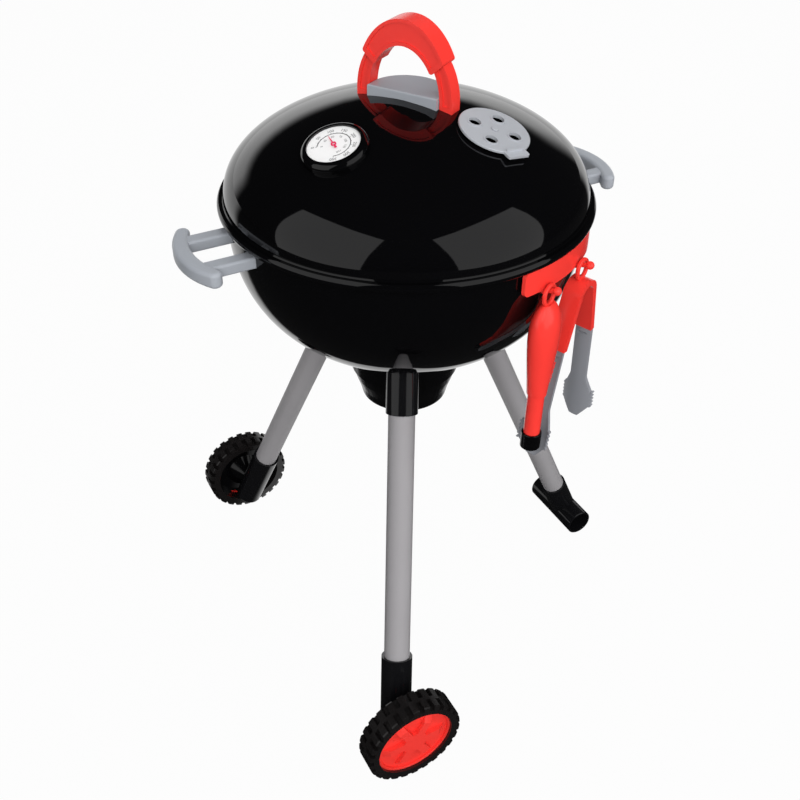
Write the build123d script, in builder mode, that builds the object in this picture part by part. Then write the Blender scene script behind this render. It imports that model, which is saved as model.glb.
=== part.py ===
from build123d import *
import math
import os

# Toy kettle barbecue: black bowl and lid on three tube legs, two wheels and a foot,
# with a rack on the rim from which a lighter and a pair of tongs hang.
# Origin on the ground under the middle of the outline, +Z up, +X towards the foot,
# wheel axles along Y.

os.makedirs("parts", exist_ok=True)

# General fits and cuts
overrun = 4.0
running_clearance = 0.08
seat_gap = 0.3
snug_gap = 0.02
seat_lift = 0.1

# Bowl
bowl_radius = 162.85
bowl_depth = 140.5
bowl_shape_share = 2.36
bowl_wall = 2.6
bowl_shoulder_z = 504.3
rim_z = 510.9
lip_width = 2.35
lip_radius = bowl_radius + lip_width
lip_height = 2.5
ledge_width = 14.25
ledge_radius = bowl_radius - bowl_wall - ledge_width
ledge_z = 474.0
ledge_height = 3.0
curve_steps = 14

# Lid
lid_azimuth = -59.0
lid_ease = 1.35
lid_radius = bowl_radius + lid_ease
lid_rim_width = 5.8
lid_rim_radius = lid_radius + lid_rim_width
lid_rim_lean = 1.7
lid_rim_top_radius = lid_rim_radius - lid_rim_lean
lid_rim_height = 6.4
lid_rim_wall = 2.3
lid_pocket_height = 2.5
lid_pocket_inset = 0.9
lid_pocket_radius = lid_radius - lid_pocket_inset
lid_step_rise = 1.2
lid_step_width = 0.8
lid_step_radius = lid_radius + lid_step_width
lid_base_z = 515.9
lid_height = 87.84
lid_crown_share = 1.533
lid_side_share = 2.25
lid_wall = 2.4
skirt_ease = 0.45
skirt_radius = bowl_radius - bowl_wall - skirt_ease
skirt_wall = 2.3
skirt_depth = 4.4

# Lid handle
arch_base_z = 604.0
arch_half_width = 46.5
arch_height = 54.0
arch_inside_half_width = 34.5
arch_inside_height = 46.0
arch_depth = 14.0
grip_half_width = 45.5
grip_height = 65.0
grip_inside_half_width = 32.0
grip_inside_height = 43.5
grip_depth = 21.0
grip_half_angle = 48.5
grip_round = 2.4
panel_frame = 3.0
panel_sink = 1.2

# Heat shield under the lid handle
shield_half_width = 33.9
shield_front = 11.0
shield_back = 31.0
shield_top_z = 610.0
shield_wall = 2.2
shield_round = 1.4

# Thermometer
gauge_swing_angle = 98.6
gauge_distance = 92.2
bezel_radius = 28.5
bezel_lip_radius = 24.2
bezel_height = 6.4
bezel_swell_radius = 27.6
bezel_swell_height = 4.3
bezel_sink = 4.5
dial_radius = 23.6
dial_window_radius = 22.6
dial_lift = 3.6
dial_thickness = 1.2
gauge_plug_radius = 9.0

# Lid vent
vent_distance = 82.5
vent_radius = 31.2
vent_thickness = 2.0
vent_round = 0.8
vent_pad_radius = 28.6
vent_pad_lift = 0.5
vent_hole_radius = 5.3
vent_hole_rim = 6.9
vent_hole_rim_height = 0.7
vent_hole_ring = 17.6
vent_hole_turn = 18.6
vent_hole_count = 4
vent_tab_middle = -26.0
vent_tab_width = 22.0
vent_tab_reach = 37.0
vent_tab_ridge = 2.0
rivet_radius = 2.0
rivet_head_radius = 3.0
rivet_head_height = 0.9
rivet_length = 5.0

# Side handles
handle_standoff = 54.15
handle_bow = 15.0
handle_bar_width = 14.5
handle_bar_half_length = 46.0
handle_bar_height = 14.0
handle_top_z = 505.5
handle_round = 3.6
handle_corner = 6.0
handle_arm_inner = 18.0
handle_arm_outer = 32.0
handle_arm_height = 11.0
handle_arm_round = 2.4
handle_boss_length = 14.0
handle_boss_bulge = 2.4

# Legs
leg_top_radius = 75.185
leg_slope_share = 0.45455
tube_radius = 12.83
tube_wall = 1.2
tube_fit = 0.05
socket_radius = 15.3
socket_sink = 3.1
socket_length = 43.0
socket_roof = 15.0
socket_round = 4.0
sleeve_radius = 15.46
sleeve_top_z = 107.0
sleeve_bottom_z = 24.0
sleeve_round = 6.0
sleeve_stop_z = 75.0
foot_socket_radius = 15.2
foot_socket_top_z = 66.0
foot_stop_z = 40.0

# Foot tube
foot_radius = 16.3
foot_bore_radius = 14.1
foot_near_reach = 35.0
foot_far_reach = 48.0
foot_axis_inset = 0.64
foot_rim_chamfer = 0.8

# Wheels
wheel_radius = 50.76
wheel_inner_offset = 16.6
wheel_outer_offset = 43.1
tyre_shoulder = 1.4
tyre_side_drop = 1.0
lug_count = 26
lug_depth = 4.2
lug_gap = 5.4
lug_overlap = 1.6
tyre_bead_radius = 46.2
tyre_flange_radius = 39.2
tyre_flange = 12.0
hub_radius = 40.35
hub_lip = 2.1
hub_wall = 2.4
hub_edge_offset = 38.2
hub_floor_offset = 36.4
hub_floor = 2.2
hub_face_offset = 41.2
hub_centre_radius = 13.0
hub_spoke_count = 6
hub_spoke_width = 9.0
hub_spoke_reach = 27.0
hub_spoke_foot_reach = 34.0
disc_thickness = 2.4
disc_slot_radius = 36.6
disc_slot_length = 11.0
disc_slot_width = 4.0
disc_slot_count = 6
boss_radius = 23.0
boss_tip_radius = 9.0
bearing_radius = 6.0
bearing_length = 0.6
axle_radius = 3.0
axle_seat_offset = -9.0
axle_end_offset = 33.2
nut_radius = 6.0
nut_thickness = 1.6
sleeve_flat_offset = 15.0

# Screws
screw_shank_radius = 1.5
screw_head_radius = 3.2
screw_head_height = 2.0
screw_length = 11.0
screw_slot_width = 0.9
screw_slot_depth = 0.9
screw_pad_radius = 5.5

# Ash catcher
ash_ring_top_radius = 60.0
ash_ring_bottom_radius = 54.0
ash_ring_top_z = 374.0
ash_seam_z = 328.0
ash_ring_wall = 2.4
cup_top_radius = 52.6
cup_shoulder_radius = 49.7
cup_shoulder_z = 317.0
cup_waist_radius = 45.7
cup_waist_z = 305.5
cup_bottom_radius = 43.4
cup_bottom_z = 296.0
cup_wall = 2.2
cup_spigot_height = 8.0

# Grate
grate_overlap = 4.5
grate_radius = ledge_radius + grate_overlap
grate_ring_width = 6.0
grate_thickness = 3.2
grate_bar_width = 3.6
grate_bar_pitch = 15.0
grate_cross_width = 5.0
grate_cross_offset = 70.0

# Tool rack
rack_azimuth = -66.25
rack_standoff = 3.3
rack_radius = lip_radius + rack_standoff
rack_thickness = 3.0
rack_half_width = 51.3
rack_top_z = 510.6
rack_bottom_z = 488.0
rack_corner = 4.5
rack_tab_radius = 5.2
rack_tab_z = 488.4
rack_claw_setback = 1.1
rack_claw_radius = rack_radius - rack_claw_setback
rack_claw_thickness = 1.9
rack_claw_half_width = 7.5
rack_claw_share = 0.68
peg_offset = 27.0
peg_radius = 2.2
peg_rise = 15.0
peg_ball_radius = 3.7
peg_reach = 8.5
peg_ball_distance = rack_radius + peg_reach
peg_ball_z = 489.6

# Loops of the hanging tools
loop_standoff = 1.5
loop_distance = rack_radius + loop_standoff
loop_thickness = 3.4
loop_hole_bottom_z = 476.8
loop_hole_width = 11.5
loop_rim = 3.6
loop_round = 1.2

# Lighter
lighter_lean = 1.5
lighter_neck_z = 475.6
lighter_neck_half_width = 8.0
lighter_neck_half_depth = 3.8
lighter_shoulder_z = 469.0
lighter_shoulder_half_width = 13.6
lighter_shoulder_half_depth = 8.2
lighter_belly_z = 449.0
lighter_belly_half_width = 17.5
lighter_belly_half_depth = 12.2
lighter_waist_z = 411.0
lighter_waist_half_width = 13.6
lighter_waist_half_depth = 10.6
lighter_end_z = 384.0
lighter_end_radius = 9.0
barrel_radius = 7.6
barrel_end_z = 336.0
barrel_spigot_radius = 5.0
barrel_spigot_length = 3.0
tip_radius = 9.3
tip_top_z = 341.0
tip_end_z = 324.5
tip_bore_radius = 6.6
tip_bore_depth = 8.0
tip_round = 0.8
trigger_top_z = 407.0
trigger_bottom_z = 389.0
trigger_foot_reach = 15.5
trigger_hollow = 0.9
trigger_flange = 2.0
trigger_reach = 21.5
trigger_heel = 6.2
trigger_width = 8.0
trigger_travel = 4.5
trigger_gap = 0.35
trigger_ridge_radius = 1.1
trigger_ridge_count = 3

# Tongs
tongs_setout = 1.6
tongs_distance = loop_distance + tongs_setout
tongs_lean = 0.5
tongs_tilt = 2.5
tongs_depth = 17.5
tongs_top_z = 475.3
tongs_bend_radius = 15.0
tongs_arm_thickness = 5.6
tongs_arm_end = 24.1
tongs_arm_end_z = 413.0
tongs_tip_spread = 39.7
tongs_tip_z = 300.0
jaw_thickness = 3.4
jaw_dish_radius = 26.0
jaw_width = 16.0
jaw_paddle_width = 29.0
jaw_paddle_length = 52.0
jaw_paddle_blend = 21.0
jaw_tip_width = 9.0
jaw_tip_length = 15.0
jaw_round = 9.0
jaw_neck_round = 14.0
jaw_tooth_radius = 1.3
jaw_tooth_pitch = 4.4
jaw_tooth_count = 5
jaw_tongue_length = 6.0
jaw_tongue_width = 11.0
jaw_tongue_thickness = 2.4
jaw_slot_length = 9.0
jaw_slot_width = 1.8
jaw_slot_drop = 7.0

# The kettle's axis stands off the middle because the foot reaches further than a handle


def bowl_height(distance):
    share = 1 - (distance / bowl_radius) ** bowl_shape_share
    return bowl_shoulder_z - bowl_depth * share ** (1 / bowl_shape_share)


socket_top_z = bowl_height(leg_top_radius) + socket_sink
socket_bottom_z = socket_top_z - socket_length
tube_top_z = socket_top_z - socket_roof
leg_floor_radius = leg_top_radius + leg_slope_share * socket_top_z
foot_axis_radius = leg_floor_radius - leg_slope_share * foot_radius - foot_axis_inset
foot_reach = foot_axis_radius + foot_radius
handle_reach = bowl_radius + handle_standoff
axis_x = (handle_reach - foot_reach) / 2
kettle_axis = Axis((axis_x, 0, 0), (0, 0, 1))

wheel_front_azimuth = -120.0
wheel_rear_azimuth = 120.0
foot_azimuth = 0.0
gauge_azimuth = lid_azimuth - gauge_swing_angle


def ray(azimuth):
    turn = math.radians(azimuth)
    return Vector(math.cos(turn), math.sin(turn), 0)


def level(height):
    return Plane((axis_x, 0, height))


def meridian(azimuth):
    out = ray(azimuth)
    return Plane(origin=(axis_x, 0, 0), x_dir=out, z_dir=(out.Y, -out.X, 0))


def tangent_plane(azimuth, distance, height, tilt):
    out = ray(azimuth)
    lean = math.radians(tilt)
    normal = out * math.sin(lean) + Vector(0, 0, math.cos(lean))
    along = out * math.cos(lean) - Vector(0, 0, math.sin(lean))
    foot = Vector(axis_x, 0, height) + out * distance
    return Plane(origin=foot, x_dir=along, z_dir=normal)


def superellipse(radius, height, across_share, along_share, base, sense):
    # Points from the widest circle to the pole of (r/R)^a + (h/H)^b = 1
    found = []
    for step in range(curve_steps + 1):
        turn = math.pi / 2 * step / curve_steps
        across = radius * max(math.cos(turn), 0) ** (2 / across_share)
        along = height * math.sin(turn) ** (2 / along_share)
        if step == curve_steps:
            across = 0
        found.append((across, base + sense * along))
    return found


def dome_height(distance):
    share = 1 - (distance / lid_radius) ** lid_crown_share
    return lid_base_z + lid_height * share ** (1 / lid_side_share)


def dome_tilt(distance):
    # Slope of the dome in degrees at a distance from the axis
    rise = dome_height(distance - seat_gap) - dome_height(distance + seat_gap)
    return math.degrees(math.atan2(rise, seat_gap * 2))


def kettle_body(radius, depth, top_z):
    # Closed solid of the bowl's superellipse, carried up as a cylinder to top_z
    points = superellipse(
        radius, depth, bowl_shape_share, bowl_shape_share, bowl_shoulder_z, -1
    )
    with BuildPart(mode=Mode.PRIVATE) as body:
        with BuildSketch(meridian(foot_azimuth)):
            with BuildLine():
                Spline(*points, tangents=[(0, -1), (-1, 0)])
                Polyline(points[-1], (0, top_z), (radius, top_z), points[0])
            make_face()
        revolve(axis=kettle_axis)
    return body.part


def dome_body(radius, height, bottom_z):
    # Closed solid of the lid's superellipse, carried down as a cylinder to bottom_z
    points = superellipse(
        radius, height, lid_crown_share, lid_side_share, lid_base_z, 1
    )
    with BuildPart(mode=Mode.PRIVATE) as body:
        with BuildSketch(meridian(foot_azimuth)):
            with BuildLine():
                Spline(*points, tangents=[(0, 1), (-1, 0)])
                Polyline(points[-1], (0, bottom_z), (radius, bottom_z), points[0])
            make_face()
        revolve(axis=kettle_axis)
    return body.part


def finish(piece, label):
    piece.part.label = label
    export_step(piece.part, f"parts/{label}.step")


def put_post(place, radius, start, stop, mode=Mode.ADD):
    # Round post along the normal of a plane, between two distances from it
    with BuildSketch(place.offset(start)) as outline:
        Circle(radius)
    extrude(outline.sketch, amount=stop - start, mode=mode)


def put_screw(place):
    # Pan-head screw: the shank runs along the plane's normal, the head sits behind it
    put_post(place, screw_shank_radius, 0, screw_length)
    put_post(place, screw_head_radius, -screw_head_height, 0)
    with BuildSketch(place.offset(-screw_head_height)) as slot:
        Rectangle(screw_head_radius * 2, screw_slot_width)
    extrude(slot.sketch, amount=screw_slot_depth, mode=Mode.SUBTRACT)


def leg_distance(height):
    return leg_floor_radius - leg_slope_share * height


def leg_plane(azimuth, height):
    # Plane square to a leg where its axis passes a height, its normal pointing up the leg
    out = ray(azimuth)
    place = Vector(axis_x, 0, height) + out * leg_distance(height)
    upward = Vector(0, 0, 1) - out * leg_slope_share
    return Plane(origin=place, x_dir=(-out.Y, out.X, 0), z_dir=upward)


def leg_run(low, high):
    # Length along a leg between two heights of its axis
    return (high - low) * math.hypot(1, leg_slope_share)


def put_leg_post(azimuth, radius, low, high, mode=Mode.ADD):
    put_post(leg_plane(azimuth, low), radius, 0, leg_run(low, high), mode)


bowl_solid = kettle_body(bowl_radius, bowl_depth, rim_z)
dome_solid = dome_body(lid_radius, lid_height, rim_z)
seat_solid = dome_body(lid_radius + seat_lift, lid_height + seat_lift, rim_z)
hollow_solid = dome_body(lid_radius - lid_wall, lid_height - lid_wall, rim_z - overrun)

# Legs' screws stand on the leg axes, at the bowl's inner pads
leg_azimuths = [wheel_front_azimuth, wheel_rear_azimuth, foot_azimuth]
leg_pad_z = socket_top_z + screw_pad_radius
leg_screw_planes = []
for azimuth in leg_azimuths:
    upright = leg_plane(azimuth, leg_pad_z)
    leg_screw_planes.append(
        Plane(origin=upright.origin, x_dir=upright.x_dir, z_dir=-upright.z_dir)
    )

# Side handles' screws run outwards into the arms from the bowl's inside
handle_screw_y = (handle_arm_inner + handle_arm_outer) / 2
handle_screw_z = handle_top_z - handle_bar_height / 2
inner_radius = bowl_radius - bowl_wall
handle_pad_x = math.sqrt(inner_radius**2 - handle_arm_outer**2) - bowl_wall
handle_screw_planes = []
for side in (-1, 1):
    for offset in (-handle_screw_y, handle_screw_y):
        handle_screw_planes.append(
            Plane(
                origin=(axis_x + side * handle_pad_x, offset, handle_screw_z),
                x_dir=(0, side, 0),
                z_dir=(side, 0, 0),
            )
        )

# Bowl
with BuildPart(mode=Mode.PRIVATE) as bowl_pads:
    for place in leg_screw_planes:
        put_post(place, screw_pad_radius, 0, screw_pad_radius * 2)
    for place in handle_screw_planes:
        put_post(place, screw_pad_radius, 0, screw_pad_radius * 2)
    add(bowl_solid, mode=Mode.INTERSECT)

with BuildPart() as bowl:
    add(bowl_solid)
    with BuildSketch(level(rim_z - lip_height)):
        Circle(lip_radius)
    extrude(amount=lip_height)
    add(
        kettle_body(inner_radius, bowl_depth - bowl_wall, rim_z + overrun),
        mode=Mode.SUBTRACT,
    )
    with BuildSketch(level(ledge_z)):
        Circle(inner_radius - snug_gap)
        Circle(ledge_radius, mode=Mode.SUBTRACT)
    extrude(amount=ledge_height)
    add(bowl_pads.part)
    for place in leg_screw_planes + handle_screw_planes:
        put_post(
            place,
            screw_shank_radius + snug_gap,
            -overrun,
            screw_length,
            Mode.SUBTRACT,
        )
finish(bowl, "bowl")

# Ash catcher: a flared ring under the bowl, with a cup pushed up into it
with BuildPart() as ash_ring:
    with BuildSketch(level(ash_seam_z)):
        Circle(ash_ring_bottom_radius)
    with BuildSketch(level(ash_ring_top_z)):
        Circle(ash_ring_top_radius)
    loft()
    with BuildSketch(level(ash_seam_z)):
        Circle(ash_ring_bottom_radius - ash_ring_wall)
    with BuildSketch(level(ash_ring_top_z)):
        Circle(ash_ring_top_radius - ash_ring_wall)
    loft(mode=Mode.SUBTRACT)
    add(bowl_solid, mode=Mode.SUBTRACT)
    for azimuth in leg_azimuths:
        put_leg_post(
            azimuth,
            socket_radius + seat_gap,
            socket_bottom_z - overrun,
            socket_top_z,
            Mode.SUBTRACT,
        )
finish(ash_ring, "ash_ring")

cup_spigot_radius = ash_ring_bottom_radius - ash_ring_wall - snug_gap
with BuildPart() as ash_cup:
    with BuildSketch(meridian(foot_azimuth)):
        with BuildLine():
            Polyline(
                (0, cup_bottom_z),
                (cup_bottom_radius, cup_bottom_z),
                (cup_waist_radius, cup_waist_z),
                (cup_shoulder_radius, cup_shoulder_z),
                (cup_top_radius, ash_seam_z),
                (cup_spigot_radius, ash_seam_z),
                (cup_spigot_radius, ash_seam_z + cup_spigot_height),
                (cup_spigot_radius - cup_wall, ash_seam_z + cup_spigot_height),
                (cup_spigot_radius - cup_wall, ash_seam_z),
                (cup_shoulder_radius - cup_wall, cup_shoulder_z),
                (cup_waist_radius - cup_wall, cup_waist_z),
                (cup_bottom_radius - cup_wall, cup_bottom_z + cup_wall),
                (0, cup_bottom_z + cup_wall),
                close=True,
            )
        make_face()
    revolve(axis=kettle_axis)
finish(ash_cup, "ash_cup")

# Leg sockets under the bowl
for azimuth, name in zip(leg_azimuths, ("front", "rear", "foot")):
    with BuildPart() as leg_socket:
        put_leg_post(azimuth, socket_radius, socket_bottom_z, socket_top_z)
        fillet(leg_socket.faces().sort_by(Axis.Z)[-1].edges(), socket_round)
        add(bowl_solid, mode=Mode.SUBTRACT)
        put_leg_post(
            azimuth,
            tube_radius + tube_fit,
            socket_bottom_z - overrun,
            tube_top_z,
            Mode.SUBTRACT,
        )
        put_leg_post(
            azimuth,
            screw_shank_radius + snug_gap,
            tube_top_z,
            socket_top_z + overrun,
            Mode.SUBTRACT,
        )
    finish(leg_socket, f"leg_socket_{name}")

# Leg tubes
leg_stops = {"front": sleeve_stop_z, "rear": sleeve_stop_z, "foot": foot_stop_z}
for azimuth, name in zip(leg_azimuths, ("front", "rear", "foot")):
    with BuildPart() as leg_tube:
        put_leg_post(azimuth, tube_radius, leg_stops[name], tube_top_z)
        put_leg_post(
            azimuth,
            tube_radius - tube_wall,
            leg_stops[name] - overrun,
            tube_top_z + overrun,
            Mode.SUBTRACT,
        )
    finish(leg_tube, f"leg_tube_{name}")

# Leg screws, one inside the bowl above each leg
with BuildPart() as leg_screws:
    for place in leg_screw_planes:
        put_screw(place)
finish(leg_screws, "leg_screws")


def wheel_plane(side):
    # Plane through a wheel's centre square to its axle, its normal pointing outwards
    out = ray(side * wheel_rear_azimuth) * leg_distance(wheel_radius)
    return Plane(
        origin=(axis_x + out.X, out.Y, wheel_radius),
        x_dir=(1, 0, 0),
        z_dir=(0, side, 0),
    )


def wheel_section(side):
    # Plane holding the axle, its x away from the axle and its y outwards along it
    return Plane(
        origin=wheel_plane(side).origin,
        x_dir=(1, 0, 0),
        z_dir=(0, 0, side),
    )


def axle_line(side):
    return Axis(wheel_plane(side).origin, (0, side, 0))


def put_turned(side, points, mode=Mode.ADD):
    # Turned ring or disc about a wheel's axle from a closed outline (radius, offset)
    with BuildSketch(wheel_section(side)) as outline:
        with BuildLine():
            Polyline(*points, close=True)
        make_face()
    revolve(outline.sketch, axis=axle_line(side), mode=mode)


wheel_middle = (wheel_inner_offset + wheel_outer_offset) / 2
drum_start = wheel_inner_offset + tyre_flange

for side, azimuth, name in (
    (-1, wheel_front_azimuth, "front"),
    (1, wheel_rear_azimuth, "rear"),
):
    face = wheel_plane(side)

    # Sleeve at the end of the leg, flattened beside the wheel
    with BuildPart() as wheel_sleeve:
        put_leg_post(azimuth, sleeve_radius, sleeve_bottom_z, sleeve_top_z)
        fillet(wheel_sleeve.faces().sort_by(Axis.Z)[0].edges(), sleeve_round)
        put_leg_post(
            azimuth,
            tube_radius + tube_fit,
            sleeve_stop_z,
            sleeve_top_z + overrun,
            Mode.SUBTRACT,
        )
        with BuildSketch(face.offset(sleeve_flat_offset)):
            Rectangle(wheel_radius * 2, wheel_radius * 2)
        extrude(amount=sleeve_radius * 2, mode=Mode.SUBTRACT)
        put_post(
            face,
            axle_radius + snug_gap,
            axle_seat_offset,
            sleeve_radius * 2,
            Mode.SUBTRACT,
        )
    finish(wheel_sleeve, f"wheel_sleeve_{name}")

    # Axle pin pressed into the sleeve
    with BuildPart() as axle:
        put_post(face, axle_radius, axle_seat_offset, axle_end_offset)
    finish(axle, f"axle_{name}")

    # Push nut on the end of the axle, inside the wheel
    nut_start = drum_start + disc_thickness + bearing_length + seat_gap
    with BuildPart() as push_nut:
        put_post(face, nut_radius, nut_start, nut_start + nut_thickness)
        put_post(
            face,
            axle_radius + snug_gap,
            nut_start - overrun,
            nut_start + nut_thickness + overrun,
            Mode.SUBTRACT,
        )
    finish(push_nut, f"push_nut_{name}")

    # Tyre: plain side walls, a flange behind the disc and two staggered rows of lugs
    with BuildPart() as tyre:
        put_turned(
            side,
            (
                (hub_radius + snug_gap, wheel_outer_offset - tyre_side_drop),
                (tyre_bead_radius, wheel_outer_offset),
                (wheel_radius - tyre_shoulder / 2, wheel_outer_offset - tyre_side_drop),
                (wheel_radius, wheel_outer_offset - tyre_shoulder - tyre_side_drop),
                (wheel_radius, wheel_inner_offset + tyre_shoulder + tyre_side_drop),
                (wheel_radius - tyre_shoulder / 2, wheel_inner_offset + tyre_side_drop),
                (tyre_bead_radius, wheel_inner_offset),
                (tyre_flange_radius, wheel_inner_offset),
                (tyre_flange_radius, drum_start),
                (hub_radius + snug_gap, drum_start),
            ),
        )
        groove_length = wheel_outer_offset - wheel_middle - lug_overlap
        for row, start, turn in (
            (1, wheel_middle + lug_overlap, 0),
            (-1, wheel_inner_offset - overrun, 180 / lug_count),
        ):
            with BuildSketch(face.offset(start)):
                with PolarLocations(wheel_radius, lug_count, start_angle=turn):
                    Rectangle(lug_depth * 2, lug_gap)
            extrude(amount=groove_length + overrun, mode=Mode.SUBTRACT)
    finish(tyre, f"tyre_{name}")

    # Hub: a drum closed by a floor, with a plateau and spokes standing on the floor
    with BuildPart() as hub:
        drum_inside = hub_radius - hub_wall
        floor_back = hub_floor_offset - hub_floor
        put_turned(
            side,
            (
                (0, floor_back),
                (drum_inside, floor_back),
                (drum_inside, drum_start + disc_thickness),
                (hub_radius, drum_start + disc_thickness),
                (hub_radius, hub_edge_offset + tyre_side_drop),
                (hub_radius - hub_lip, hub_edge_offset + tyre_side_drop),
                (hub_radius - hub_lip * 2, hub_floor_offset),
                (0, hub_floor_offset),
            ),
        )
        plateau_height = hub_face_offset - hub_floor_offset
        with BuildSketch(face.offset(hub_floor_offset)):
            Circle(hub_centre_radius)
            with PolarLocations(0, hub_spoke_count):
                Rectangle(
                    hub_spoke_foot_reach,
                    hub_spoke_width,
                    align=(Align.MIN, Align.CENTER),
                )
        extrude(amount=plateau_height)
        put_turned(
            side,
            (
                (hub_spoke_reach, hub_face_offset),
                (hub_spoke_foot_reach, hub_floor_offset),
                (hub_spoke_foot_reach + overrun, hub_floor_offset),
                (hub_spoke_foot_reach + overrun, hub_face_offset + overrun),
                (hub_spoke_reach, hub_face_offset + overrun),
            ),
            Mode.SUBTRACT,
        )
    finish(hub, f"hub_{name}")

    # Inner disc of the wheel with the bearing for the axle
    disc_outer = drum_start + disc_thickness
    boss_start = sleeve_flat_offset + seat_gap
    with BuildPart() as wheel_disc:
        put_turned(
            side,
            (
                (axle_radius + running_clearance, boss_start),
                (boss_tip_radius, boss_start),
                (boss_radius, drum_start),
                (hub_radius, drum_start),
                (hub_radius, disc_outer),
                (boss_radius, disc_outer),
                (bearing_radius, boss_start + disc_thickness * 2),
                (bearing_radius, disc_outer + bearing_length),
                (axle_radius + running_clearance, disc_outer + bearing_length),
            ),
        )
        with BuildSketch(face.offset(drum_start - overrun)):
            with PolarLocations(disc_slot_radius, disc_slot_count):
                Rectangle(disc_slot_width, disc_slot_length)
        extrude(amount=disc_thickness + overrun * 2, mode=Mode.SUBTRACT)
    finish(wheel_disc, f"wheel_disc_{name}")

# Foot: an open cross tube with a slanting socket for the leg
foot_centre = Plane(
    origin=(axis_x + foot_axis_radius, 0, foot_radius),
    x_dir=(1, 0, 0),
    z_dir=(0, -1, 0),
)
with BuildPart() as foot_tee:
    put_leg_post(foot_azimuth, foot_socket_radius, foot_radius, foot_socket_top_z)
    put_post(foot_centre, foot_radius, -foot_far_reach, foot_near_reach)
    put_post(
        foot_centre,
        foot_bore_radius,
        -foot_far_reach - overrun,
        foot_near_reach + overrun,
        Mode.SUBTRACT,
    )
    rims = foot_tee.faces().filter_by(Axis.Y).edges()
    chamfer(rims.filter_by(lambda rim: rim.radius == foot_radius), foot_rim_chamfer)
    put_leg_post(
        foot_azimuth,
        tube_radius + tube_fit,
        foot_stop_z,
        foot_socket_top_z + overrun,
        Mode.SUBTRACT,
    )
finish(foot_tee, "foot_tee")

# Side handles: a bowed grip bar on two arms that butt against the bowl
handle_mid_z = handle_top_z - handle_bar_height / 2
handle_plane = Plane((axis_x, 0, handle_mid_z))
arm_plane = Plane(
    origin=(axis_x + handle_pad_x, 0, handle_mid_z), x_dir=(0, 1, 0), z_dir=(1, 0, 0)
)
handle_end_reach = handle_reach - handle_bow
handle_inner_reach = handle_reach - handle_bar_width
boss_plane = arm_plane.offset(handle_inner_reach + handle_arm_round - handle_pad_x)
with BuildPart() as side_handle_right:
    with BuildSketch(handle_plane):
        with BuildLine():
            grip_back = ThreePointArc(
                (handle_end_reach, -handle_bar_half_length),
                (handle_reach, 0),
                (handle_end_reach, handle_bar_half_length),
            )
            grip_front = ThreePointArc(
                (handle_end_reach - handle_bar_width, -handle_bar_half_length),
                (handle_inner_reach, 0),
                (handle_end_reach - handle_bar_width, handle_bar_half_length),
            )
            Line(grip_back @ 0, grip_front @ 0)
            Line(grip_back @ 1, grip_front @ 1)
        make_face()
        fillet(vertices(), handle_corner)
    extrude(amount=handle_bar_height / 2, both=True)
    fillet(side_handle_right.faces().filter_by(Axis.Z).edges(), handle_round)
    with BuildSketch(arm_plane):
        with Locations((-handle_screw_y, 0), (handle_screw_y, 0)):
            RectangleRounded(
                handle_arm_outer - handle_arm_inner,
                handle_arm_height,
                handle_arm_round,
            )
    extrude(amount=handle_inner_reach - handle_pad_x)
    with BuildSketch(boss_plane):
        Ellipse(handle_boss_length, handle_arm_height / 2)
    with BuildSketch(boss_plane.offset(-handle_boss_bulge)):
        Ellipse(
            handle_boss_length - handle_boss_bulge,
            handle_arm_height / 2 - handle_boss_bulge,
        )
    loft()
    add(bowl_solid, mode=Mode.SUBTRACT)
    for place in handle_screw_planes:
        if place.z_dir.X > 0:
            put_post(
                place,
                screw_shank_radius + snug_gap,
                0,
                screw_length + snug_gap,
                Mode.SUBTRACT,
            )
finish(side_handle_right, "side_handle_right")

with BuildPart() as side_handle_left:
    mirror(
        side_handle_right.part,
        about=Plane(origin=(axis_x, 0, 0), z_dir=(1, 0, 0)),
    )
finish(side_handle_left, "side_handle_left")

with BuildPart() as handle_screws:
    for place in handle_screw_planes:
        put_screw(place)
finish(handle_screws, "handle_screws")

# Cooking grate: a flat ring with parallel bars and two cross bars
with BuildPart() as cooking_grate:
    with BuildSketch(level(ledge_z + ledge_height)):
        grate_inside = grate_radius - grate_ring_width
        bar_count = int(grate_inside * 2 / grate_bar_pitch)
        with GridLocations(grate_bar_pitch, 0, bar_count, 1):
            Rectangle(grate_bar_width, grate_radius * 2)
        with GridLocations(0, grate_cross_offset * 2, 1, 2):
            Rectangle(grate_radius * 2, grate_cross_width)
        Circle(grate_radius, mode=Mode.INTERSECT)
    with BuildSketch(level(ledge_z + ledge_height)):
        Circle(grate_radius)
        Circle(grate_inside, mode=Mode.SUBTRACT)
    extrude(amount=grate_thickness)
finish(cooking_grate, "cooking_grate")


# Tool rack on the rim of the bowl
rack_out = ray(rack_azimuth)
rack_along = Vector(-rack_out.Y, rack_out.X, 0)


def rack_plane(distance, along=0, height=0):
    # Upright plane facing outwards from the rack, its x along the rack and y upwards
    place = Vector(axis_x, 0, height) + rack_out * distance + rack_along * along
    return Plane(origin=place, x_dir=rack_along, z_dir=rack_out)


def rim_block(inner, outer, low, height, along, half_width):
    # Short piece of a ring around the kettle's axis, in front of the rack
    with BuildPart(mode=Mode.PRIVATE) as block:
        with BuildSketch(level(low)):
            Circle(outer)
            Circle(inner, mode=Mode.SUBTRACT)
        extrude(amount=height)
        with BuildSketch(rack_plane(0, along, low)):
            Rectangle(half_width * 2, height * 4)
        extrude(amount=lid_rim_radius, mode=Mode.INTERSECT)
    return block.part


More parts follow.
